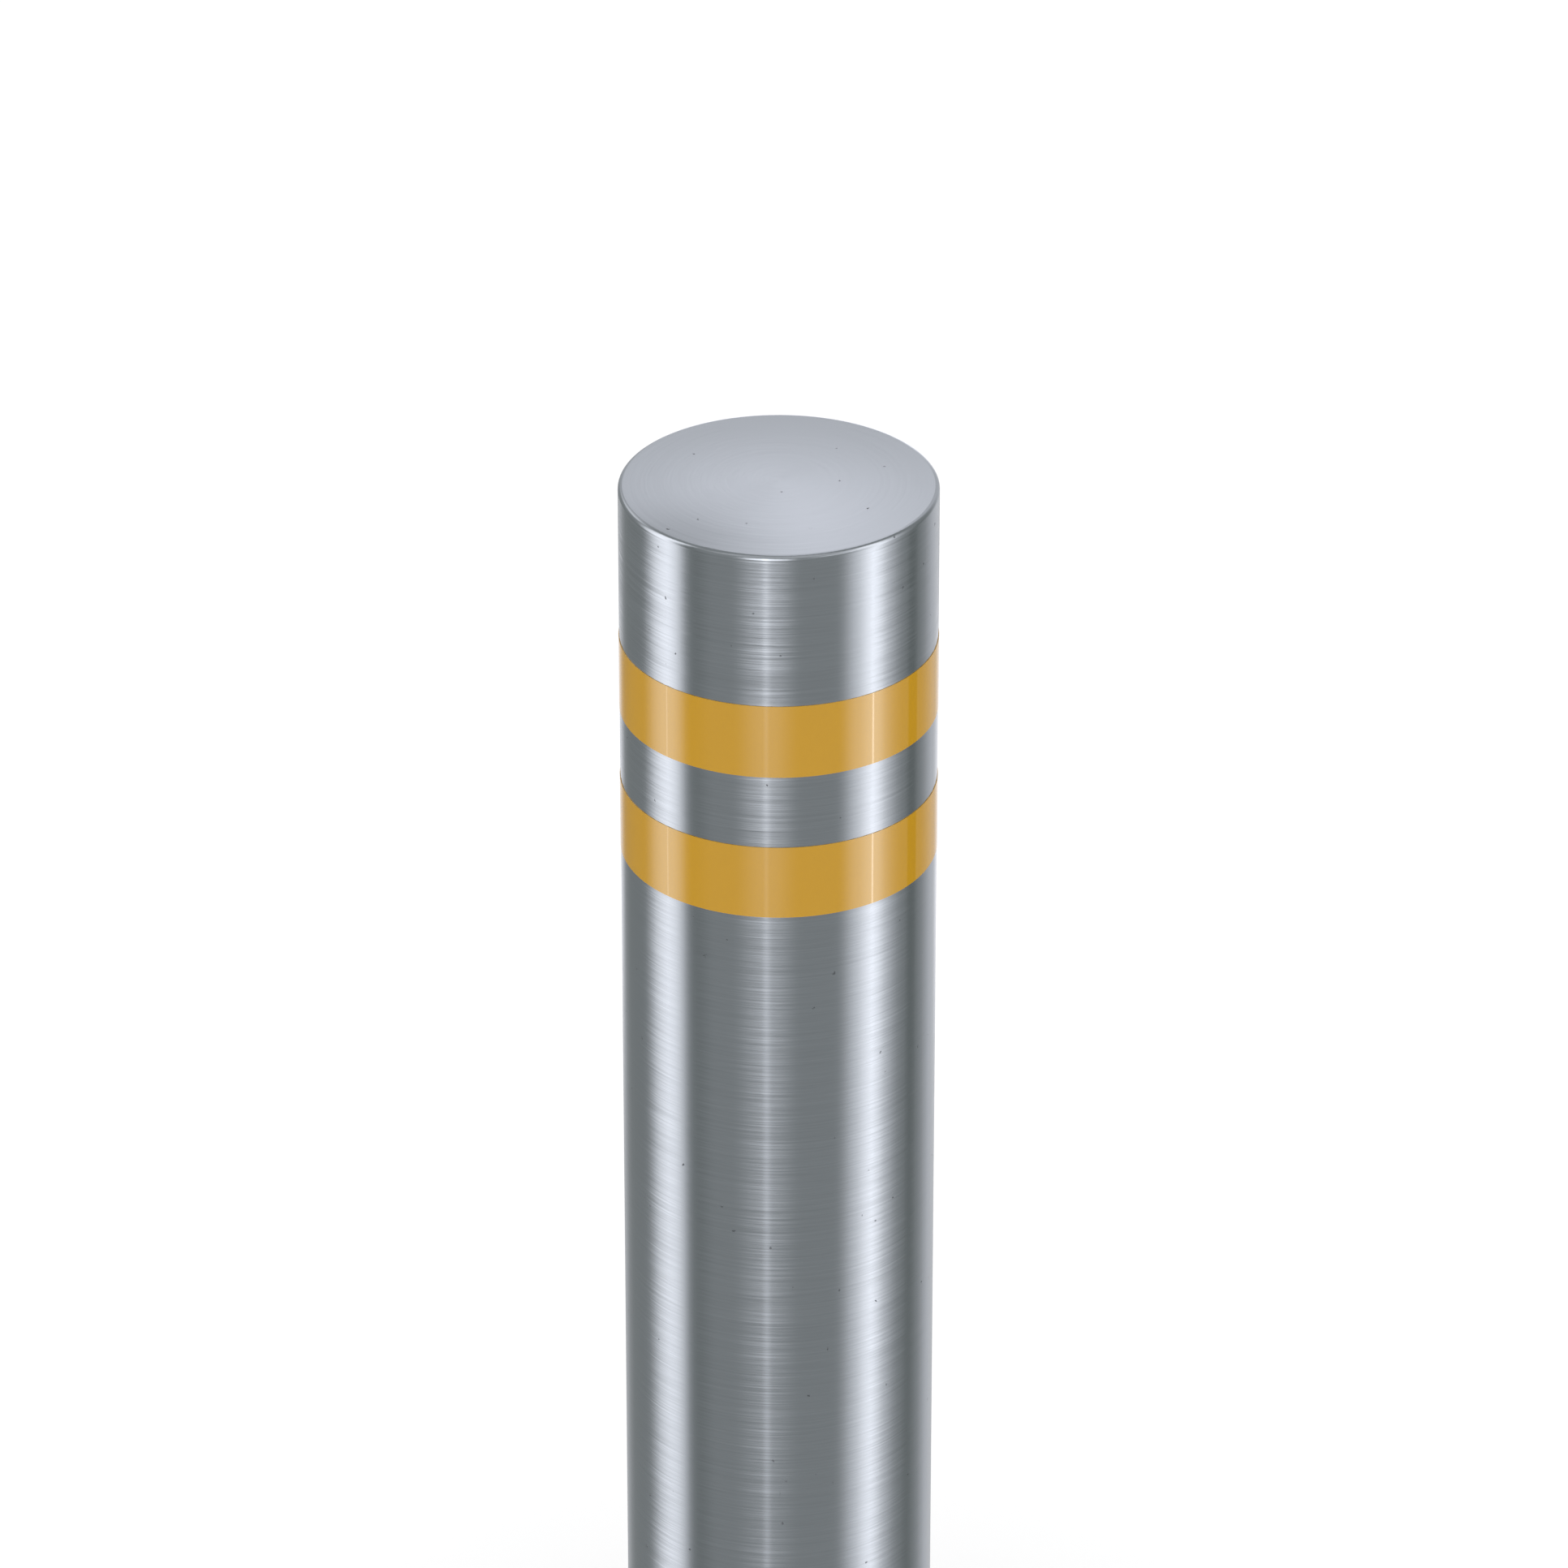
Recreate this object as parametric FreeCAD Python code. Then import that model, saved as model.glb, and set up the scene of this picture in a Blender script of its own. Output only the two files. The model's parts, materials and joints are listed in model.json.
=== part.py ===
"""Surface-mounted stainless steel safety bollard.

A brushed stainless sleeve with a crowned welded cap and two yellow reflective bands
stands over a galvanised structural core.  The core is welded to a round base plate
with four gussets and is bolted to the ground through four anchor holes.  The sleeve
rests on a seat ring, is centred by two rubber rings and is locked by three grub
screws low on its wall.  A pressed base cover with a machined collar hides the plate
and the screws, and slides up the sleeve to reach them.

Millimetres, +Z up.  The origin is the centre of the base plate's underside.
"""

import FreeCAD, Part
import math
import os

from FreeCAD import Placement, Rotation, Vector

# ---- driving dimensions -------------------------------------------------------------

HEIGHT = 1000.0  # ground to the top of the crowned cap
SLEEVE_OD = 204.0
SLEEVE_WALL = 3.0
CROWN_RISE = 3.0  # centre of the cap above its rim
RIM_RADIUS = 3.0  # rounded edge of the cap
CAP_THICKNESS = 4.0

TAPE_WIDTH = 50.5  # reflective tape, and also the gap between the two bands
TAPE_THICKNESS = 0.35
TAPE_BUTT_GAP = 0.8  # where the two ends of a tape meet, at the back
RIM_TO_TAPE = 105.5  # cap's rim to the upper band's top edge

CORE_OD = 168.3  # structural tube, 168.3 x 6.3
CORE_WALL = 6.3
PLATE_DIAMETER = 300.0
PLATE_THICKNESS = 15.0
ANCHOR_PCD = 250.0
ANCHOR_HOLE = 18.0  # clears an M16 anchor
ANCHORS = 4
FIRST_ANCHOR = 45.0  # degrees about Z from +X
DRAIN_HOLE = 70.0

GUSSET_SIDES = {"right": 0, "back": 90, "left": 180, "front": 270}  # degrees about Z
GUSSET_THICKNESS = 8.0
GUSSET_HEIGHT = 30.0
GUSSET_REACH = 146.0  # radius of a gusset's outer end
SEAT_THICKNESS = 5.0
SEAT_DRAIN = 8.0

COVER_OD = 330.0
COVER_SHEET = 2.0
COLLAR_HEIGHT = 18.0

# Where the grub screws are, in degrees about Z from +X.
SLEEVE_SCREWS = {"right": 30, "left": 150, "front": 270}
COVER_SCREWS = {"back": 90, "left": 210, "right": 330}

# ---- sizes worked out from them -----------------------------------------------------

SLEEVE_R = SLEEVE_OD / 2
SLEEVE_BORE = SLEEVE_R - SLEEVE_WALL
CORE_R = CORE_OD / 2
CORE_BORE = CORE_R - CORE_WALL
RUN_GAP = 0.35  # clearance between parts that slide past each other
SNUG_GAP = 0.05  # clearance between parts that are pressed or bonded together

SEAT_TOP = PLATE_THICKNESS + GUSSET_HEIGHT + SEAT_THICKNESS
RIM_Z = HEIGHT - CROWN_RISE
CAP_SEAM = RIM_Z - RIM_RADIUS - 1.0  # the sleeve's top end
CROWN_SPHERE = (SLEEVE_R**2 + CROWN_RISE**2) / (2 * CROWN_RISE)
SCREW_Z = SEAT_TOP + 18.0  # grub screws of the sleeve

COLLAR_Z = SEAT_TOP + 8.0
COLLAR_TOP = COLLAR_Z + COLLAR_HEIGHT
COLLAR_BORE = SLEEVE_R + 1.0
COLLAR_R = COLLAR_BORE + 11.0
COLLAR_SPIGOT_R = COLLAR_R - 4.0
COVER_TOP = COLLAR_Z + COVER_SHEET  # upper face of the sheet at the collar
COVER_SHOULDER_Z = SEAT_TOP + 4.0  # where the cover's wall would meet its sloping top
COVER_FOOT = 3.0  # height of the sheet's lower edge, inside the rubber trim
COVER_SCREW_Z = COLLAR_TOP - 5.5

CORE_TOP = RIM_Z - 27.0
TOP_PLATE = 8.0

# ---- threads and the seal -------------------------------------------------------------

LIFT_THREAD = 16.0
SLEEVE_THREAD = 8.0
COVER_THREAD = 6.0
THREAD_GAP = 0.02  # between a screw and its tapped hole, both drawn as plain cylinders
SEAL_SECTION = 3.5  # diameter of the O-ring's section
SEAL_GROOVE = 3.8  # height of its groove in the collar's bore
SEAL_GROOVE_Z = COLLAR_Z + 4.0
SEAL_INNER_R = SLEEVE_R + RUN_GAP

os.makedirs("parts", exist_ok=True)


# ---- helpers ------------------------------------------------------------------------


def export(node, shape):
    """Writes one sub-part, in its place, as parts/NODE.step."""
    shape.exportStep(f"parts/{node}.step")


def cylinder(radius, z, height):
    return Part.makeCylinder(radius, height, Vector(0, 0, z))


def ring(outer_r, inner_r, z, height):
    return cylinder(outer_r, z, height).cut(cylinder(inner_r, z, height))


def revolve(outline):
    """A solid turned about Z from a closed outline of (radius, z) points."""
    points = [Vector(r, 0, z) for r, z in outline]
    face = Part.Face(Part.makePolygon(points + points[:1]))
    return face.revolve(Vector(0, 0, 0), Vector(0, 0, 1), 360)


def round_edges(shape, radius, *places):
    """Rounds the level circular edges that have one of these (radius, z) pairs."""
    chosen = [
        edge
        for edge in shape.Edges
        if not edge.Degenerated
        and isinstance(edge.Curve, Part.Circle)
        and any(
            abs(edge.Curve.Radius - r) < 0.05 and abs(edge.Curve.Center.z - z) < 0.05
            for r, z in places
        )
    ]
    return shape.makeFillet(radius, chosen)


def around(shape, degrees):
    """A copy of the shape turned about Z."""
    return shape.transformed(Placement(Vector(), Rotation(Vector(0, 0, 1), degrees)).toMatrix())


def radial(shape, distance, z):
    """Lays a shape built along +Z so that it points out along +X, starting at a radius."""
    lay = Placement(Vector(distance, 0, z), Rotation(Vector(0, 1, 0), 90))
    return shape.transformed(lay.toMatrix())


def extrude(outline, by):
    """A prism from a closed outline of (x, y, z) points in one plane."""
    points = [Vector(*point) for point in outline]
    return Part.Face(Part.makePolygon(points + points[:1])).extrude(Vector(*by))


def hexagon(across_flats, height):
    corner = across_flats / math.sqrt(3)
    turns = [math.radians(60 * i) for i in range(6)]
    return extrude([(corner * math.cos(a), corner * math.sin(a), 0) for a in turns], (0, 0, height))


def grub_screw(diameter, length, across_flats):
    """A headless socket screw along +Z: cup point at 0, hexagon socket at the far end."""
    radius = diameter / 2
    chamfer = 0.12 * diameter
    body = revolve(
        [
            (0, 0),
            (radius - 2 * chamfer, 0),
            (radius, 2 * chamfer),
            (radius, length - chamfer),
            (radius - chamfer, length),
            (0, length),
        ]
    )
    cup = Part.makeCone(0.3 * diameter, 0, 0.2 * diameter)
    socket_depth = 0.45 * diameter
    socket = hexagon(across_flats, socket_depth).translated(Vector(0, 0, length - socket_depth))
    return body.cut(cup).cut(socket)


# ---- core: base plate, gussets, seat ring, tube, top plate ----------------------------


def base_plate():
    plate = cylinder(PLATE_DIAMETER / 2, 0, PLATE_THICKNESS)
    plate = round_edges(plate, 2.0, (PLATE_DIAMETER / 2, PLATE_THICKNESS))
    plate = plate.cut(cylinder(DRAIN_HOLE / 2, 0, PLATE_THICKNESS))
    hole = cylinder(ANCHOR_HOLE / 2, 0, PLATE_THICKNESS).translated(Vector(ANCHOR_PCD / 2, 0, 0))
    for i in range(ANCHORS):
        plate = plate.cut(around(hole, FIRST_ANCHOR + i * 360 / ANCHORS))
    return round_edges(plate, 1.0, (ANCHOR_HOLE / 2, PLATE_THICKNESS))


def core_post():
    """The structural tube, with the fillet weld that joins it to the plate."""
    weld_leg = 6.0
    z = PLATE_THICKNESS
    return revolve(
        [
            (CORE_BORE, z),
            (CORE_R + weld_leg, z),
            (CORE_R, z + weld_leg),
            (CORE_R, CORE_TOP),
            (CORE_BORE, CORE_TOP),
        ]
    )


def gusset():
    """A stiffening plate along +X, its foot welded to the base plate on both sides.

    A snipe at the inner corner clears the weld at the core's foot.
    """
    snipe = 10.0
    toe = 6.0
    weld_leg = 4.0
    z = PLATE_THICKNESS
    side = GUSSET_THICKNESS / 2
    outline = [
        (CORE_BORE, z + snipe + CORE_WALL),
        (CORE_R + snipe, z),
        (GUSSET_REACH, z),
        (GUSSET_REACH, z + toe),
        (SLEEVE_R, z + GUSSET_HEIGHT),
        (CORE_BORE, z + GUSSET_HEIGHT),
    ]
    plate = extrude([(x, -side, z) for x, z in outline], (0, GUSSET_THICKNESS, 0))
    plate = plate.cut(cylinder(CORE_R + SNUG_GAP, 0, SEAT_TOP))
    start = CORE_R + snipe
    bead = [(start, -side - weld_leg, z), (start, side + weld_leg, z), (start, 0, z + side + weld_leg)]
    return plate.fuse(extrude(bead, (GUSSET_REACH - start, 0, 0))).removeSplitter()


def seat_ring():
    """Welded on the gussets: the sleeve's lower end stands on it.  Four holes drain the gap."""
    z = SEAT_TOP - SEAT_THICKNESS
    seat = ring(SLEEVE_R, CORE_R + SNUG_GAP, z, SEAT_THICKNESS)
    gap_middle = (CORE_R + SLEEVE_BORE) / 2
    drain = cylinder(SEAT_DRAIN / 2, z, SEAT_THICKNESS).translated(Vector(gap_middle, 0, 0))
    for side in GUSSET_SIDES.values():
        seat = seat.cut(around(drain, side + 45))
    return seat


def core_top_plate():
    plate = cylinder(CORE_R, CORE_TOP, TOP_PLATE)
    plate = round_edges(plate, 1.5, (CORE_R, CORE_TOP + TOP_PLATE))
    return plate.cut(cylinder(LIFT_THREAD / 2 + 0.75, CORE_TOP, TOP_PLATE))


def lift_nut():
    """Weld nut under the top plate, for a lifting eye while the sleeve is off."""
    across_flats = 24.0
    height = 13.0
    face_r = across_flats / 2
    corner_r = across_flats / math.sqrt(3)
    bevel = 1.0
    turned = revolve(
        [
            (LIFT_THREAD / 2, 0),
            (face_r, 0),
            (corner_r, bevel),
            (corner_r, height - bevel),
            (face_r, height),
            (LIFT_THREAD / 2, height),
        ]
    )
    nut = hexagon(across_flats, height).common(turned)
    return nut.translated(Vector(0, 0, CORE_TOP - height))


def top_buffer():
    """Rubber ring on the top plate that keeps the cap from rattling and denting."""
    outer_r = 60.0
    inner_r = 25.0
    z = CORE_TOP + TOP_PLATE
    cap_underside = HEIGHT - CAP_THICKNESS - outer_r**2 / (2 * CROWN_SPHERE)
    height = cap_underside - RUN_GAP - z
    buffer = ring(outer_r, inner_r, z, height)
    return round_edges(buffer, 2.0, (outer_r, z + height), (inner_r, z + height))


# ---- sleeve: tube, cap, bands, centring rings, weld nuts, grub screws -----------------


def post_sleeve():
    """The brushed tube, with a hole over each weld nut."""
    hole_r = SLEEVE_THREAD / 2 + 0.5
    sleeve = ring(SLEEVE_R, SLEEVE_BORE, SEAT_TOP, CAP_SEAM - SEAT_TOP)
    screw_hole = radial(cylinder(hole_r, 0, 2 * SLEEVE_WALL), SLEEVE_BORE - SLEEVE_WALL / 2, SCREW_Z)
    for angle in SLEEVE_SCREWS.values():
        sleeve = sleeve.cut(around(screw_hole, angle))
    return sleeve


def crowned_disc(radius, top):
    """Everything under the cap's crown, for a crown whose centre is at this height."""
    ball = Part.makeSphere(CROWN_SPHERE, Vector(0, 0, top - CROWN_SPHERE))
    depth = 40.0
    return cylinder(radius, top - depth, depth).common(ball)


def post_cap():
    """Pressed cap: crowned top, rounded rim flush with the sleeve, and a skirt inside it."""
    skirt = 13.0
    skirt_wall = 3.0
    skirt_r = SLEEVE_BORE - SNUG_GAP
    lid = crowned_disc(SLEEVE_R, HEIGHT)
    lid = lid.cut(cylinder(SLEEVE_R, 0, CAP_SEAM))
    lid = round_edges(lid, RIM_RADIUS, (SLEEVE_R, RIM_Z))
    plug = cylinder(skirt_r, CAP_SEAM - skirt, skirt)
    hollow = crowned_disc(skirt_r - skirt_wall, HEIGHT - CAP_THICKNESS)
    return lid.fuse(plug).cut(hollow).removeSplitter()


def band(top):
    """One strip of reflective tape round the sleeve, its ends meeting at the back."""
    tape = ring(SLEEVE_R + TAPE_THICKNESS, SLEEVE_R, top - TAPE_WIDTH, TAPE_WIDTH)
    corner = Vector(-TAPE_BUTT_GAP / 2, SLEEVE_R / 2, top - TAPE_WIDTH)
    return tape.cut(Part.makeBox(TAPE_BUTT_GAP, SLEEVE_R, TAPE_WIDTH, corner))


def centring_ring(z):
    """Rubber ring bonded inside the sleeve, sliding over the core."""
    height = 25.0
    rubber = ring(SLEEVE_BORE - SNUG_GAP, CORE_R + RUN_GAP, z, height)
    return round_edges(rubber, 2.0, (CORE_R + RUN_GAP, z), (CORE_R + RUN_GAP, z + height))


def sleeve_nut():
    """Round weld nut on the sleeve's inner wall, along +X."""
    outer_r = 8.0
    thickness = 7.0
    bore_r = SLEEVE_THREAD / 2 + THREAD_GAP
    nut = radial(ring(outer_r, bore_r, 0, thickness), SLEEVE_BORE - thickness, SCREW_Z)
    wall = cylinder(SLEEVE_BORE - 3 * SNUG_GAP, SEAT_TOP, CAP_SEAM - SEAT_TOP)
    return nut.common(wall)


def sleeve_screw():
    """M8 x 16 grub screw, its point against the core, along +X."""
    return radial(grub_screw(SLEEVE_THREAD, 16.0, 4.0), CORE_R + RUN_GAP, SCREW_Z)


# ---- cover: pressed sheet, machined collar, seal, edge trim, grub screws --------------


def base_cover():
    """Pressed sheet: an upright wall, a rounded shoulder and a top that slopes to the collar."""
    wall_r = COVER_OD / 2
    inner_wall_r = wall_r - COVER_SHEET
    inner_shoulder_z = COVER_SHOULDER_Z - COVER_SHEET
    corner = 18.0
    sheet = revolve(
        [
            (wall_r, COVER_FOOT),
            (wall_r, COVER_SHOULDER_Z),
            (COLLAR_SPIGOT_R, COVER_TOP),
            (COLLAR_SPIGOT_R, COVER_TOP - COVER_SHEET),
            (inner_wall_r, inner_shoulder_z),
            (inner_wall_r, COVER_FOOT),
        ]
    )
    sheet = round_edges(sheet, corner, (wall_r, COVER_SHOULDER_Z))
    return round_edges(sheet, corner - COVER_SHEET, (inner_wall_r, inner_shoulder_z))


def cover_collar():
    """Turned ring on the cover: a shoulder on the sheet, a seal groove and three screws."""
    groove_r = COLLAR_BORE + 3.0
    collar = revolve(
        [
            (COLLAR_BORE, COLLAR_Z - COVER_SHEET),
            (COLLAR_SPIGOT_R - SNUG_GAP, COLLAR_Z - COVER_SHEET),
            (COLLAR_SPIGOT_R - SNUG_GAP, COVER_TOP),
            (COLLAR_R, COVER_TOP),
            (COLLAR_R, COLLAR_TOP),
            (COLLAR_BORE, COLLAR_TOP),
        ]
    )
    collar = round_edges(collar, 2.5, (COLLAR_R, COLLAR_TOP))
    collar = round_edges(collar, 1.0, (COLLAR_BORE, COLLAR_TOP))
    collar = collar.cut(ring(groove_r, SLEEVE_R, SEAL_GROOVE_Z, SEAL_GROOVE))
    thread = cylinder(COVER_THREAD / 2 + THREAD_GAP, 0, 2 * (COLLAR_R - COLLAR_BORE))
    thread = radial(thread, SLEEVE_R, COVER_SCREW_Z)
    for angle in COVER_SCREWS.values():
        collar = collar.cut(around(thread, angle))
    return collar


def collar_o_ring():
    section_r = SEAL_SECTION / 2
    seal = Part.makeTorus(SEAL_INNER_R + section_r, section_r)
    return seal.translated(Vector(0, 0, SEAL_GROOVE_Z + SEAL_GROOVE / 2))


def cover_edge_trim():
    """Rubber channel pushed on the cover's lower edge, standing on the ground."""
    lip = 1.5
    height = 9.0
    sheet_r = COVER_OD / 2
    outer_r = sheet_r + lip
    inner_r = sheet_r - COVER_SHEET - lip
    trim = ring(outer_r, inner_r, 0, height)
    trim = round_edges(trim, 1.2, (outer_r, 0), (inner_r, 0), (outer_r, height), (inner_r, height))
    slot = ring(sheet_r + SNUG_GAP, sheet_r - COVER_SHEET - SNUG_GAP, COVER_FOOT, height)
    return trim.cut(slot)


def cover_screw():
    """M6 x 10 grub screw in the collar, along +X."""
    return radial(grub_screw(COVER_THREAD, 10.0, 3.0), SLEEVE_R + RUN_GAP, COVER_SCREW_Z)


# ---- the assembly ---------------------------------------------------------------------


def main():
    export("base_plate", base_plate())
    export("core_post", core_post())
    for side, angle in GUSSET_SIDES.items():
        export(f"gusset_{side}", around(gusset(), angle))
    export("seat_ring", seat_ring())
    export("core_top_plate", core_top_plate())
    export("lift_nut", lift_nut())
    export("top_buffer", top_buffer())

    export("post_sleeve", post_sleeve())
    export("post_cap", post_cap())
    upper_top = RIM_Z - RIM_TO_TAPE
    export("upper_band", band(upper_top))
    export("lower_band", band(upper_top - 2 * TAPE_WIDTH))
    export("upper_centring_ring", centring_ring(CORE_TOP - 60.0))
    export("lower_centring_ring", centring_ring(SCREW_Z + 30.0))
    for side, angle in SLEEVE_SCREWS.items():
        export(f"sleeve_nut_{side}", around(sleeve_nut(), angle))
        export(f"sleeve_screw_{side}", around(sleeve_screw(), angle))

    export("base_cover", base_cover())
    export("cover_collar", cover_collar())
    export("collar_o_ring", collar_o_ring())
    export("cover_edge_trim", cover_edge_trim())
    for side, angle in COVER_SCREWS.items():
        export(f"cover_screw_{side}", around(cover_screw(), angle))


main()
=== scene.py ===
"""Studio scene for the steel safety bollard.

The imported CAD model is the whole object.  This script gives it its looks: procedural
materials for every node, a pale floor, a ring of soft studio lights and the camera.
Metres, +Z up, -Y towards the camera.
"""

import json
import math

import bpy
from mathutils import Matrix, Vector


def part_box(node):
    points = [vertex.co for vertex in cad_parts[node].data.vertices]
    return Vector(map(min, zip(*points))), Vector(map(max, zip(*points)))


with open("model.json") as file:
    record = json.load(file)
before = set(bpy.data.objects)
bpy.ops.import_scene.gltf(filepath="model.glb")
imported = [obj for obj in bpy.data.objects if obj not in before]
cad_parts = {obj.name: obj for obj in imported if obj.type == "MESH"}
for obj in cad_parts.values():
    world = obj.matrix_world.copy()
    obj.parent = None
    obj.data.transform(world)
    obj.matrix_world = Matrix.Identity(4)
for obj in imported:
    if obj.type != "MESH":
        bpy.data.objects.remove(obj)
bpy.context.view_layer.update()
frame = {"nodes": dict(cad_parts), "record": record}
scene = bpy.context.scene

# ---- camera -------------------------------------------------------------------------

CAMERA_LENS = 205.84  # mm: a long lens
CAMERA_SENSOR = 36.0  # mm, its width
CAMERA_REACH = 100.0  # metres, past the floor's far edge
CAMERA_DISTANCE = 5.0812  # metres from the post's axis, along the floor
CAMERA_ABOVE_TOP = 2.5213  # metres above the crown of the cap
CAMERA_PITCH = 28.334  # degrees below the horizon
CAMERA_YAW = -0.0376  # degrees

post_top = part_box("post_cap")[1].z
camera_data = bpy.data.cameras.new("camera")
camera_data.lens = CAMERA_LENS
camera_data.sensor_width = CAMERA_SENSOR
camera_data.clip_end = CAMERA_REACH
camera = bpy.data.objects.new("camera", camera_data)
camera.location = (0.0, -CAMERA_DISTANCE, post_top + CAMERA_ABOVE_TOP)
camera.rotation_euler = (math.radians(90.0 - CAMERA_PITCH), 0.0, math.radians(CAMERA_YAW))
scene.collection.objects.link(camera)
scene.camera = camera
scene.view_settings.view_transform = "Standard"


# ---- node helpers -------------------------------------------------------------------


class Net:
    """Short ways to add nodes to one node tree.  Values may be numbers or sockets."""

    def __init__(self, tree):
        self.tree = tree
        tree.nodes.clear()

    def add(self, kind, inputs=None, **settings):
        node = self.tree.nodes.new(kind)
        for name, value in settings.items():
            setattr(node, name, value)
        for name, value in (inputs or {}).items():
            self.put(node.inputs[name], value)
        return node

    def put(self, socket, value):
        if isinstance(value, bpy.types.NodeSocket):
            self.tree.links.new(value, socket)
        else:
            socket.default_value = value

    def maths(self, operation, a, b=0.0):
        node = self.add("ShaderNodeMath", {0: a, 1: b}, operation=operation)
        return node.outputs[0]

    def vector(self, operation, a, b=(0.0, 0.0, 0.0)):
        node = self.add("ShaderNodeVectorMath", {0: a, 1: b}, operation=operation)
        return node.outputs["Value" if operation in ("DOT_PRODUCT", "LENGTH") else "Vector"]

    def scaled(self, a, factor):
        node = self.add(
            "ShaderNodeVectorMath",
            {"Vector": a, "Scale": factor},
            operation="SCALE",
        )
        return node.outputs["Vector"]

    def split(self, a):
        return self.add("ShaderNodeSeparateXYZ", {0: a}).outputs

    def joined(self, x, y, z):
        return self.add("ShaderNodeCombineXYZ", {0: x, 1: y, 2: z}).outputs[0]

    def step(self, value, start, end, low=0.0, high=1.0, smooth=True):
        """Goes from low to high as value goes from start to end, and stays there."""
        node = self.add(
            "ShaderNodeMapRange",
            {"Value": value, "From Min": start, "From Max": end, "To Min": low, "To Max": high},
            interpolation_type="SMOOTHSTEP" if smooth else "LINEAR",
            clamp=True,
        )
        return node.outputs[0]

    def noise(self, vector, scale=1.0, detail=2.0, roughness=0.5):
        node = self.add(
            "ShaderNodeTexNoise",
            {"Vector": vector, "Scale": scale, "Detail": detail, "Roughness": roughness},
        )
        return node.outputs["Fac"]

    def mix(self, factor, a, b):
        node = self.add("ShaderNodeMix", data_type="RGBA")
        self.put(node.inputs["Factor"], factor)
        self.put(node.inputs["A"], a)
        self.put(node.inputs["B"], b)
        return node.outputs["Result"]


def colour(r, g, b):
    return (r, g, b, 1.0)


def new_material(name):
    material = bpy.data.materials.new(name)
    material.use_nodes = True
    return material, Net(material.node_tree)


# ---- studio -------------------------------------------------------------------------

# The lights are a ring of soft panels, as a mirror on the post's axis would show them.
# Angles are in degrees.  Azimuth is 0 towards the camera and grows towards +X; for the
# panels behind the post it is measured from straight behind, and grows towards -X.
# Elevation is above the horizon.  Each panel gives its strength, then where it starts,
# is full, begins to fade and ends: first along the azimuth, then along the elevation.
# A negative strength takes light away.
# The panels are fitted to the reflections in the photo: the largest began as a
# least-squares fit, and all were then set one by one.

LEFT_SIDE = (-60.0, -20.0, 35.0, 60.0)
RIGHT_SIDE = (-80.0, -22.0, 35.0, 60.0)
ANY_HEIGHT = (-92.0, -91.0, 91.0, 92.0)
BELOW_HORIZON = (-92.0, -91.0, -10.0, 0.0)
# The camera looks down at the post, whose walls mirror elevations of about -27 to -33
# degrees towards it.  The bands mirror only this part of them, so strips of this height
# show sharply in the smooth bands and only as a faint blur in the brushed steel.
BAND_HEIGHT = (-30.0, -29.3, -27.6, -26.9)

FRONT_PANELS = [
    # left panel, its hard inner edge, and the thin lamp in it
    (1.06, (-115.6, -89.1, -85.6, -65.6), LEFT_SIDE),
    (0.06, (-107.0, -103.0, -72.2, -71.6), LEFT_SIDE),
    (0.75, (-88.9, -88.5, -88.1, -87.7), BAND_HEIGHT),
    # right panel, brighter along its middle, and the thin lamp in it
    (0.61, (42.3, 65.3, 74.7, 102.8), RIGHT_SIDE),
    (0.48, (59.3, 71.8, 73.5, 84.6), RIGHT_SIDE),
    (0.25, (44.0, 58.0, 77.0, 92.0), BAND_HEIGHT),
    (1.60, (71.1, 71.5, 72.3, 72.7), BAND_HEIGHT),
    # front panel above the camera, its bright middle, its tube, and the ceiling over it
    (0.61, (-34.0, -10.0, -7.5, 16.0), (-32.0, -21.0, 8.0, 30.0)),
    (0.22, (-34.0, -10.0, -7.5, 16.0), BAND_HEIGHT),
    (0.55, (-27.0, -18.0, 2.0, 12.0), (-18.0, -6.0, 14.0, 26.0)),
    (0.88, (-11.5, -9.2, -8.8, -6.5), (-50.0, -18.0, 8.0, 30.0)),
    (-0.45, (-11.5, -9.2, -8.8, -6.5), BAND_HEIGHT),
    (0.20, (-80.0, -50.0, 50.0, 80.0), (30.0, 42.0, 75.0, 86.0)),
    # two soft boxes to the sides, high enough that only the tops of things mirror them
    (0.50, (15.0, 38.0, 52.0, 75.0), (3.0, 14.0, 20.0, 34.0)),
    (0.50, (-165.0, -142.0, -128.0, -108.0), (12.0, 26.0, 29.0, 46.0)),
    # dark flags beside the side panels
    (-0.02, (-160.0, -140.0, -114.0, -106.0), BELOW_HORIZON),
    (-0.07, (-76.0, -73.0, -64.0, -48.0), ANY_HEIGHT),
    (-0.03, (98.0, 110.5, 112.5, 134.0), ANY_HEIGHT),
    (-0.05, (106.0, 109.0, 118.4, 119.2), BELOW_HORIZON),
    (-0.10, (106.0, 109.0, 118.4, 119.2), BAND_HEIGHT),
    (-0.04, (-160.0, -150.0, -118.0, -108.0), BAND_HEIGHT),
]
BACK_PANELS = [
    # wide wall of light, brighter low down; what the cap mirrors, and its dark corner
    (0.27, (-58.0, -30.0, 0.0, 42.0), (-92.0, -91.0, 40.0, 60.0)),
    (0.06, (-58.0, -30.0, 0.0, 42.0), (-92.0, -91.0, -10.0, 10.0)),
    (0.46, (-9.0, 0.0, 0.0, 8.0), (18.5, 30.0, 31.0, 43.0)),
    (-0.65, (-1.5, 4.5, 6.0, 12.0), (27.5, 35.0, 38.0, 46.0)),
    # ceiling behind the post, which the cap's rounded rim mirrors
    (0.38, (-45.0, -25.0, 2.0, 20.0), (37.0, 47.0, 76.0, 86.0)),
    # what the bands' outermost edges mirror
    (0.40, (-28.0, -12.0, 12.0, 32.0), BAND_HEIGHT),
    # panel that only the back of the post mirrors
    (0.65, (-20.0, -6.0, 0.0, 10.0), (-23.0, -15.0, 6.0, 15.0)),
]

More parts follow.
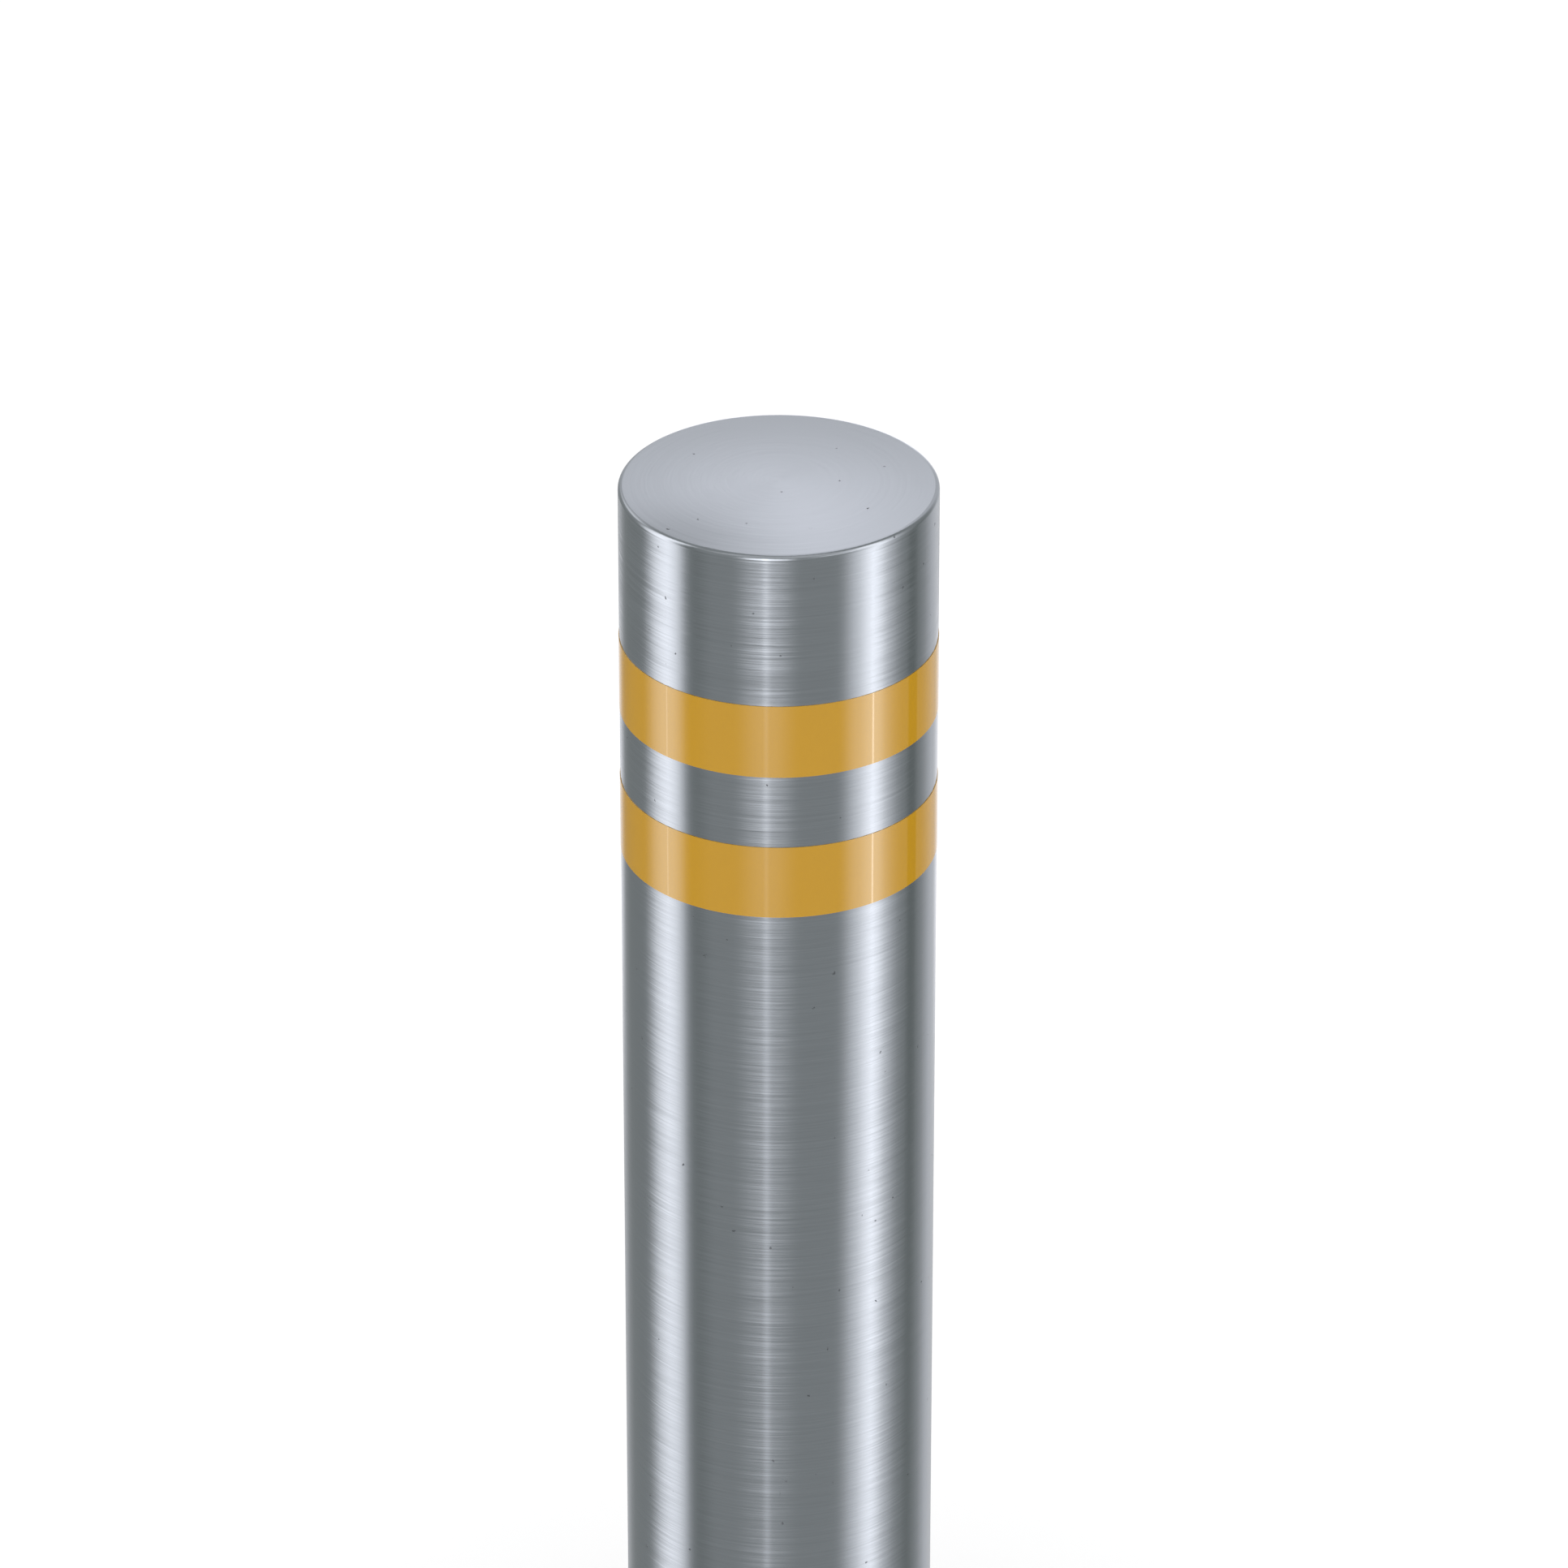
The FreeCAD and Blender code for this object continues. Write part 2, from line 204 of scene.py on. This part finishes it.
FRONT_TINT = (1.0, 0.99, 1.015)
BACK_TINT = (0.975, 0.958, 1.02)

ROOM_LIGHT = (0.262, 0.276, 0.271)  # what mirrors see where there is no panel
DARKEST = 0.04  # no dark flag takes the room below this
WHITE = colour(1.0, 1.0, 1.0)
SOFT_STRENGTH = 1.15  # the even light on floor and matt surfaces
SEEN_STRENGTH = 1.0  # the plain white that the camera sees
FLOOR_REACH = 40.0  # metres from the post to the floor's edges
FLOOR_COLOUR = colour(0.93, 0.93, 0.93)


def panel(net, azimuth, elevation, sides, height):
    """A soft-edged patch of the surroundings: 1 inside it and 0 outside."""
    value = 1.0
    for angle, (start, full, fade, end) in ((azimuth, sides), (elevation, height)):
        rise = net.step(angle, start, full)
        fall = net.step(angle, fade, end, 1.0, 0.0)
        value = net.maths("MULTIPLY", net.maths("MULTIPLY", rise, fall), value)
    return value


def build_world():
    """What mirrors see is the panels; the soft light and the camera see plain white."""
    world = bpy.data.worlds.new("studio")
    world.use_nodes = True
    scene.world = world
    net = Net(world.node_tree)
    direction = net.add("ShaderNodeTexCoord").outputs["Generated"]
    x, y, z = net.split(direction)[:]
    left = net.maths("MULTIPLY", x, -1.0)
    front = net.maths("DEGREES", net.maths("ARCTAN2", x, net.maths("MULTIPLY", y, -1.0)))
    behind = net.maths("DEGREES", net.maths("ARCTAN2", left, y))
    elevation = net.maths("DEGREES", net.maths("ARCSINE", z))

    light = ROOM_LIGHT
    for azimuth, tint, panels in (
        (front, FRONT_TINT, FRONT_PANELS),
        (behind, BACK_TINT, BACK_PANELS),
    ):
        for strength, sides, height in panels:
            patch = panel(net, azimuth, elevation, sides, height)
            shade = net.maths("MULTIPLY", patch, strength)
            light = net.vector("ADD", light, net.scaled(tint, shade))
    light = net.vector("MAXIMUM", light, (DARKEST, DARKEST, DARKEST))
    mirrored = net.add("ShaderNodeBackground", {"Color": light})
    soft = net.add("ShaderNodeBackground", {"Color": WHITE, "Strength": SOFT_STRENGTH})
    seen = net.add("ShaderNodeBackground", {"Color": WHITE, "Strength": SEEN_STRENGTH})
    path = net.add("ShaderNodeLightPath").outputs
    inner = net.add(
        "ShaderNodeMixShader",
        {0: path["Is Glossy Ray"], 1: soft.outputs[0], 2: mirrored.outputs[0]},
    )
    outer = net.add(
        "ShaderNodeMixShader",
        {0: path["Is Camera Ray"], 1: inner.outputs[0], 2: seen.outputs[0]},
    )
    net.add("ShaderNodeOutputWorld", {"Surface": outer.outputs[0]})


def build_floor():
    """A large pale floor, which mirrors don't see."""
    size = FLOOR_REACH
    mesh = bpy.data.meshes.new("floor")
    corners = [(-size, -size, 0), (size, -size, 0), (size, size, 0), (-size, size, 0)]
    mesh.from_pydata(corners, [], [(0, 1, 2, 3)])
    floor = bpy.data.objects.new("floor", mesh)
    scene.collection.objects.link(floor)
    floor.visible_glossy = False
    material, net = new_material("floor")
    shader = net.add("ShaderNodeBsdfDiffuse", {"Color": FLOOR_COLOUR})
    net.add("ShaderNodeOutputMaterial", {"Surface": shader.outputs[0]})
    mesh.materials.append(material)


build_world()
build_floor()


# ---- materials ----------------------------------------------------------------------

# Every pattern is made in the part's own coordinates, in metres about the post's axis.


def finish_material(net, **sockets):
    inputs = {name.replace("_", " "): value for name, value in sockets.items()}
    shader = net.add("ShaderNodeBsdfPrincipled", inputs)
    net.add("ShaderNodeOutputMaterial", {"Surface": shader.outputs[0]})


POST_RADIUS = 0.1  # metres, about: turns a line's length into an angle round the axis
# How far a face's normal may lean round the axis (sine of the angle) before it is taken
# for a face of its own and not for a turned one.
LEAN_TRUED = 0.06
LEAN_KEPT = 0.12


class Turned:
    """Coordinates for a surface finished on a lathe: lines run round the Z axis."""

    def __init__(self, net):
        self.net = net
        self.place = net.add("ShaderNodeTexCoord").outputs["Object"]
        x, y, self.z = net.split(self.place)[:]
        flat = net.joined(x, y, 0.0)
        self.radius = net.vector("LENGTH", flat)
        self.compass = net.vector("NORMALIZE", flat)
        self.along = net.vector("CROSS_PRODUCT", (0.0, 0.0, 1.0), self.compass)
        self.normal = self.trued(net.add("ShaderNodeNewGeometry").outputs["Normal"])
        self.across = net.vector("CROSS_PRODUCT", self.normal, self.along)

    def trued(self, normal):
        """Aims a turned face's normal exactly away from the axis; other faces keep theirs.

        Where a mesh is split along a turned face, its own normals lean to either side.
        """
        net = self.net
        lean = net.vector("DOT_PRODUCT", normal, self.along)
        share = net.step(net.maths("ABSOLUTE", lean), LEAN_TRUED, LEAN_KEPT, 1.0, 0.0)
        lean_if_turned = net.maths("MULTIPLY", lean, share)
        excess = net.scaled(self.along, lean_if_turned)
        return net.vector("NORMALIZE", net.vector("SUBTRACT", normal, excess))

    def lines(self, length, width, detail=2.0, roughness=0.5):
        """Noise drawn out round the axis; length and width of a line are in metres."""
        net = self.net
        round_axis = net.scaled(self.compass, POST_RADIUS / length)
        x, y, _ = net.split(round_axis)[:]
        vector = net.joined(x, y, net.maths("MULTIPLY", self.z, 1.0 / width))
        outwards = net.maths("MULTIPLY", self.radius, 1.0 / width)
        inputs = {
            "Vector": vector,
            "W": outwards,
            "Scale": 1.0,
            "Detail": detail,
            "Roughness": roughness,
        }
        node = net.add("ShaderNodeTexNoise", inputs, noise_dimensions="4D")
        return net.maths("SUBTRACT", node.outputs["Fac"], 0.5)

    def bent(self, tilt, turn):
        """The normal, leaned across the lines by tilt and along them by turn (radians)."""
        net = self.net
        leaned = net.vector("ADD", self.normal, net.scaled(self.across, tilt))
        leaned = net.vector("ADD", leaned, net.scaled(self.along, turn))
        return net.vector("NORMALIZE", leaned)


# A pit's outline: how fine and how strong its wobble is, and where its edge begins and
# ends, all in parts of the pit's size.
PIT_WOBBLE_FINENESS = 1.2
PIT_WOBBLE = 2.4
PIT_EDGE_IN = 0.35
PIT_EDGE_OUT = 0.5


def pits(net, place, spacing, size):
    """1 inside small scattered pits and 0 elsewhere; spacing and size are in metres."""
    wobble = net.noise(place, scale=PIT_WOBBLE_FINENESS / size, detail=3.0)
    wobble = net.maths("MULTIPLY", net.maths("SUBTRACT", wobble, 0.5), PIT_WOBBLE * size)
    cells = net.add(
        "ShaderNodeTexVoronoi",
        {"Vector": net.scaled(place, 1.0 / spacing), "Scale": 1.0, "Randomness": 1.0},
    )
    distance = net.maths("MULTIPLY", cells.outputs["Distance"], spacing)
    distance = net.maths("ADD", distance, wobble)
    return net.step(distance, PIT_EDGE_IN * size, PIT_EDGE_OUT * size, 1.0, 0.0)


STEEL_COLOUR = (0.62, 0.65, 0.70)
GRIME_COLOUR = colour(0.30, 0.28, 0.25)
WALL_ROUGHNESS = 0.19
CAP_ROUGHNESS = 0.15
BRUSHED_SPREAD = 0.54  # highlights spread across the brush lines
QUARTER_TURN = 0.25  # aims that spread up and down the post
# How steep the brush lines are: radians of lean for a full swing of their noise.
COMB_LEAN = 0.11
FINE_LEAN = 0.05
SCRATCH_LEAN = 0.012
FINE_TURN = 0.01
LEVEL_SHARE = 0.03  # level faces are polished down to this share of the lean
# The brushing is coarser at the top of the post, over these heights in metres.
COARSE_FROM = 0.84
COARSE_FULL = 0.95
COARSE_SHARE = 1.65
# How much the brush lines change the colour, on level faces and on walls.
LEVEL_STREAKS = 0.05
WALL_STREAKS = 0.16
PIT_SPACING = 0.017
PIT_SIZE = 0.0018
PIT_DARKNESS = 0.4  # a pit keeps this share of the steel's colour
SPOT_ROUGHNESS = 0.25  # what a pit or dirt adds
BROAD_ROUGHNESS = 0.018  # how far the roughness drifts from one swathe to the next
GRIME_HEIGHT = 0.05  # dirt splashes this high above the ground


def brushed_steel(name, top_roughness=WALL_ROUGHNESS, grime=0.0):
    """Stainless brushed around the Z axis; its level faces may be smoother than its walls."""
    material, net = new_material(name)
    turned = Turned(net)
    comb = turned.lines(0.160, 0.0012, roughness=0.6)
    fine = turned.lines(0.030, 0.0006, detail=1.0)
    broad = turned.lines(0.080, 0.012, detail=1.0)
    scratch = turned.lines(0.200, 0.0008, detail=0.0)
    ridge = net.step(scratch, 0.2, 0.3)
    groove = net.step(scratch, -0.3, -0.2, 1.0, 0.0)
    scratch = net.maths("SUBTRACT", ridge, groove)
    level = net.maths("ABSOLUTE", net.split(turned.normal)[2])
    wall = net.step(level, 0.3, 0.9, 1.0, 0.0)

    comb_tilt = net.maths("MULTIPLY", comb, COMB_LEAN)
    fine_tilt = net.maths("MULTIPLY", fine, FINE_LEAN)
    tilt = net.maths("ADD", comb_tilt, fine_tilt)
    tilt = net.maths("ADD", tilt, net.maths("MULTIPLY", scratch, SCRATCH_LEAN))
    tilt = net.maths("MULTIPLY", tilt, net.step(wall, 0.0, 1.0, LEVEL_SHARE, 1.0))
    coarse = net.step(turned.z, COARSE_FROM, COARSE_FULL, 1.0, COARSE_SHARE)
    tilt = net.maths("MULTIPLY", tilt, coarse)

    pit = pits(net, turned.place, PIT_SPACING, PIT_SIZE)
    cloud = net.noise(turned.place, scale=14.0, detail=3.0)
    low = net.step(turned.z, 0.0, GRIME_HEIGHT, 1.0, 0.0)
    splash = net.maths("MULTIPLY", low, net.step(cloud, 0.35, 0.65))
    dirt = net.maths("MULTIPLY", splash, grime)
    lines = net.maths("ADD", comb, fine)
    streaks = net.maths("MULTIPLY", lines, net.step(wall, 0.0, 1.0, LEVEL_STREAKS, WALL_STREAKS))
    tone = net.maths("ADD", streaks, 1.0)
    tone = net.maths("MULTIPLY", tone, net.step(pit, 0.0, 1.0, 1.0, PIT_DARKNESS))
    base = net.scaled(STEEL_COLOUR, tone)
    base = net.mix(dirt, base, GRIME_COLOUR)
    rough = net.step(wall, 0.0, 1.0, top_roughness, WALL_ROUGHNESS)
    rough = net.maths("ADD", rough, net.maths("MULTIPLY", broad, BROAD_ROUGHNESS))
    spots = net.maths("MULTIPLY", net.maths("MAXIMUM", pit, dirt), SPOT_ROUGHNESS)
    rough = net.maths("ADD", rough, spots)
    finish_material(
        net,
        Base_Color=base,
        Metallic=1.0,
        Roughness=rough,
        Anisotropic=BRUSHED_SPREAD,
        Anisotropic_Rotation=QUARTER_TURN,
        Normal=turned.bent(tilt, net.maths("MULTIPLY", fine, FINE_TURN)),
    )
    return material


ZINC_COLOUR = (0.50, 0.52, 0.54)
DULL_ZINC_COLOUR = colour(0.42, 0.43, 0.44)
CRYSTALS_PER_METRE = 130.0
# The zinc's brightness: its least, and what crystals and slow drift add.
ZINC_TONE = 0.79
CRYSTAL_TONE = 0.24
DRIFT_TONE = 0.10
DULL_SHARE = 0.6
DULL_ROUGHNESS = 0.14


def galvanised_steel(name):
    """Hot-dip zinc: a spangle of grey crystals, dulled in patches."""
    material, net = new_material(name)
    place = net.add("ShaderNodeTexCoord").outputs["Object"]
    drift = net.noise(place, scale=60.0)
    crystals = net.add(
        "ShaderNodeTexVoronoi",
        {"Vector": net.scaled(place, CRYSTALS_PER_METRE), "Scale": 1.0},
    )
    crystal = net.split(crystals.outputs["Color"])[0]
    cloud = net.noise(place, scale=18.0, detail=5.0, roughness=0.6)
    crystal_tone = net.maths("MULTIPLY", crystal, CRYSTAL_TONE)
    tone = net.maths("ADD", crystal_tone, net.maths("MULTIPLY", drift, DRIFT_TONE))
    tone = net.maths("ADD", tone, ZINC_TONE)
    dull = net.step(cloud, 0.45, 0.65)
    cover = net.maths("MULTIPLY", dull, DULL_SHARE)
    base = net.mix(cover, net.scaled(ZINC_COLOUR, tone), DULL_ZINC_COLOUR)
    rough = net.step(crystal, 0.0, 1.0, 0.32, 0.46)
    rough = net.maths("ADD", rough, net.maths("MULTIPLY", dull, DULL_ROUGHNESS))
    grain = net.noise(place, scale=240.0, detail=3.0)
    height = net.maths("ADD", grain, net.maths("MULTIPLY", crystal, 0.3))
    bump = net.add("ShaderNodeBump", {"Strength": 0.5, "Distance": 0.0003, "Height": height})
    finish_material(
        net,
        Base_Color=base,
        Metallic=0.85,
        Roughness=rough,
        Normal=bump.outputs["Normal"],
    )
    return material


SCREW_COLOUR = colour(0.52, 0.53, 0.55)
STAIN_COLOUR = colour(0.30, 0.29, 0.27)
STAIN_SHARE = 0.5
STAIN_ROUGHNESS = 0.1


def screw_steel(name):
    """Plain machined screw steel with a few dull stains."""
    material, net = new_material(name)
    place = net.add("ShaderNodeTexCoord").outputs["Object"]
    stretched = net.vector("MULTIPLY", place, (2600.0, 2600.0, 900.0))
    marks = net.noise(stretched, detail=3.0, roughness=0.6)
    stain = net.step(net.noise(place, scale=300.0, detail=3.0), 0.5, 0.7)
    base = net.mix(net.maths("MULTIPLY", stain, STAIN_SHARE), SCREW_COLOUR, STAIN_COLOUR)
    rough = net.step(marks, 0.3, 0.7, 0.24, 0.38)
    rough = net.maths("ADD", rough, net.maths("MULTIPLY", stain, STAIN_ROUGHNESS))
    bump = net.add("ShaderNodeBump", {"Strength": 0.4, "Distance": 0.00005, "Height": marks})
    finish_material(
        net,
        Base_Color=base,
        Metallic=1.0,
        Roughness=rough,
        Normal=bump.outputs["Normal"],
    )
    return material


RUBBER_COLOUR = colour(0.014, 0.014, 0.016)
DUST_COLOUR = colour(0.065, 0.062, 0.057)
DUST_SHARE = 0.45
DUST_ROUGHNESS = 0.2


def black_rubber(name):
    """Moulded rubber with a little dust on it."""
    material, net = new_material(name)
    place = net.add("ShaderNodeTexCoord").outputs["Object"]
    grain = net.noise(place, scale=1400.0, detail=2.0)
    dust = net.step(net.noise(place, scale=35.0, detail=5.0, roughness=0.65), 0.48, 0.72)
    base = net.mix(net.maths("MULTIPLY", dust, DUST_SHARE), RUBBER_COLOUR, DUST_COLOUR)
    rough = net.step(grain, 0.3, 0.7, 0.50, 0.60)
    rough = net.maths("ADD", rough, net.maths("MULTIPLY", dust, DUST_ROUGHNESS))
    bump = net.add("ShaderNodeBump", {"Strength": 0.5, "Distance": 0.0002, "Height": grain})
    finish_material(
        net,
        Base_Color=base,
        Metallic=0.0,
        Roughness=rough,
        Normal=bump.outputs["Normal"],
    )
    return material


TAPE_COLOUR = (0.55, 0.283, 0.001)
TAPE_TONE = 0.975
TAPE_GRAIN = 0.02
TAPE_CLOUD = 0.03
TAPE_IOR = 2.4  # above plain plastic's, to mirror as strongly as in the photo
TAPE_SHEEN = colour(1.0, 1.0, 0.93)


def yellow_tape(name):
    """Reflective tape with a clear glossy face."""
    material, net = new_material(name)
    turned = Turned(net)
    grain = net.noise(turned.place, scale=1500.0, detail=2.0)
    cloud = net.noise(turned.place, scale=40.0, detail=2.0)
    grain_tone = net.maths("MULTIPLY", grain, TAPE_GRAIN)
    tone = net.maths("ADD", grain_tone, net.maths("MULTIPLY", cloud, TAPE_CLOUD))
    base = net.scaled(TAPE_COLOUR, net.maths("ADD", tone, TAPE_TONE))
    finish_material(
        net,
        Base_Color=base,
        Metallic=0.0,
        Roughness=net.step(grain, 0.3, 0.7, 0.045, 0.055),
        IOR=TAPE_IOR,
        Specular_Tint=TAPE_SHEEN,
        Normal=turned.normal,
    )
    return material


MATERIALS = {
    "brushed_stainless": brushed_steel("brushed_stainless"),
    "cap_stainless": brushed_steel("cap_stainless", top_roughness=CAP_ROUGHNESS),
    "cover_stainless": brushed_steel("cover_stainless", grime=0.35),
    "galvanised_steel": galvanised_steel("galvanised_steel"),
    "screw_steel": screw_steel("screw_steel"),
    "yellow_tape": yellow_tape("yellow_tape"),
    "black_rubber": black_rubber("black_rubber"),
}

for part in frame["record"]["subparts"]:
    node = frame["nodes"][part["node"]]
    node.data.materials.clear()
    node.data.materials.append(MATERIALS[part["material_slot"]])
